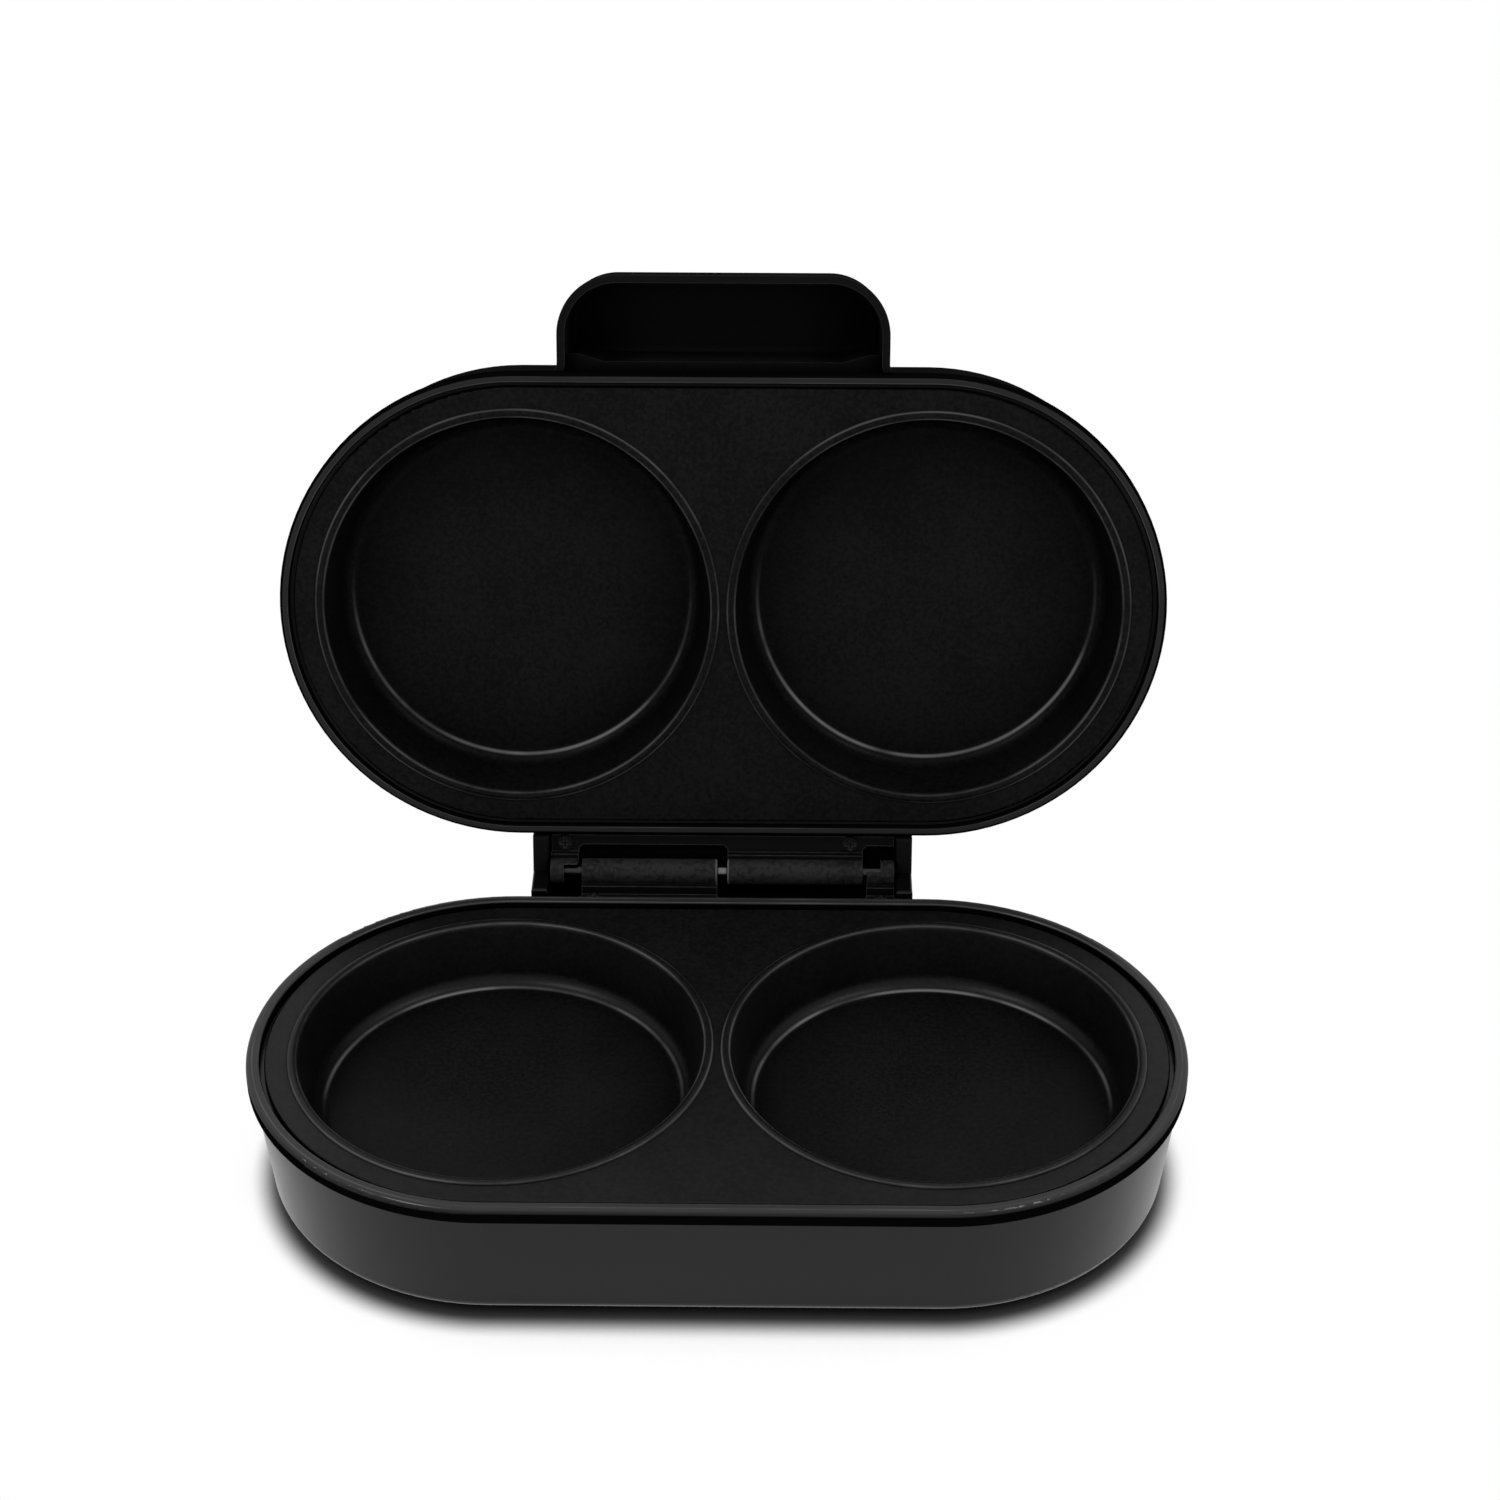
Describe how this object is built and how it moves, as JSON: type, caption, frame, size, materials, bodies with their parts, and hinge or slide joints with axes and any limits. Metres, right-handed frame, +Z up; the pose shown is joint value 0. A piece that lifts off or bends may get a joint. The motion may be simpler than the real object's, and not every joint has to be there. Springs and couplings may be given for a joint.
{
  "type": "twin-well countertop cooker",
  "caption": "Track-shaped countertop egg and omelette cooker with round wells side by side in base and hinged lid, and a hood-shaped handle on the lid's free edge.",
  "frame": {"origin": "bottom centre of the bounding box with the lid leaning open on its stop, in the plane the feet stand on", "axes": "+X along the cooker, to the right as seen from the front; +Y from the front towards the hinge; +Z up"},
  "size_m": [0.2266, 0.1982, 0.1858],
  "materials": {
    "housing": "black, satin to gloss",
    "trim": "black, satin",
    "cooking_surface": "matte black non-stick coating over cast aluminium",
    "rubber": "matte",
    "hinge_steel": "black, satin",
    "bright_steel": "plated",
    "heater_steel": "heat-stained steel sheath",
    "ceramic": "unglazed ceramic, drawn as matte plastic",
    "shield_sheet": "bright rolled sheet",
    "block_plastic": "natural nylon",
    "lamp_glass": "clear",
    "power_lens": "translucent red",
    "ready_lens": "translucent green"
  },
  "bodies": {
    "base": {"base_element": "heater_steel", "base_element_pins": "heater_steel", "base_element_seals": "ceramic", "base_heat_shield": "shield_sheet", "base_hinge_leaf": "hinge_steel", "base_hinge_screws": "hinge_steel", "base_housing": "housing", "base_plate": "cooking_surface", "base_plate_screws": "bright_steel", "base_shield_screws": "bright_steel", "base_trim_ring": "trim", "front_left_foot": "rubber", "front_right_foot": "rubber", "fuse_clip": "bright_steel", "fuse_clip_screws": "bright_steel", "hinge_pin": "bright_steel", "inlet_bush": "rubber", "rear_left_foot": "rubber", "rear_right_foot": "rubber", "terminal_block": "block_plastic", "terminal_block_screws": "bright_steel", "thermal_fuse": "shield_sheet", "thermostat": "ceramic", "thermostat_screws": "bright_steel"},
    "lid": {"handle": "housing", "handle_screws": "bright_steel", "lamp_holder": "block_plastic", "lamp_holder_screw": "bright_steel", "lid_element": "heater_steel", "lid_element_pins": "heater_steel", "lid_element_seals": "ceramic", "lid_heat_shield": "shield_sheet", "lid_hinge_leaf": "hinge_steel", "lid_hinge_screws": "hinge_steel", "lid_housing": "housing", "lid_plate": "cooking_surface", "lid_plate_screws": "bright_steel", "lid_shield_screws": "bright_steel", "lid_trim_ring": "trim", "power_lamp": "lamp_glass", "power_lens": "power_lens", "ready_lamp": "lamp_glass", "ready_lens": "ready_lens"}
  },
  "joints": [
    {"name": "lid_hinge", "type": "hinge", "parent": "base", "child": "lid", "pos_m": [0, 0.03168, 0.0385], "axis": [1, 0, 0], "range_deg": [0, 105.75]}
  ]
}
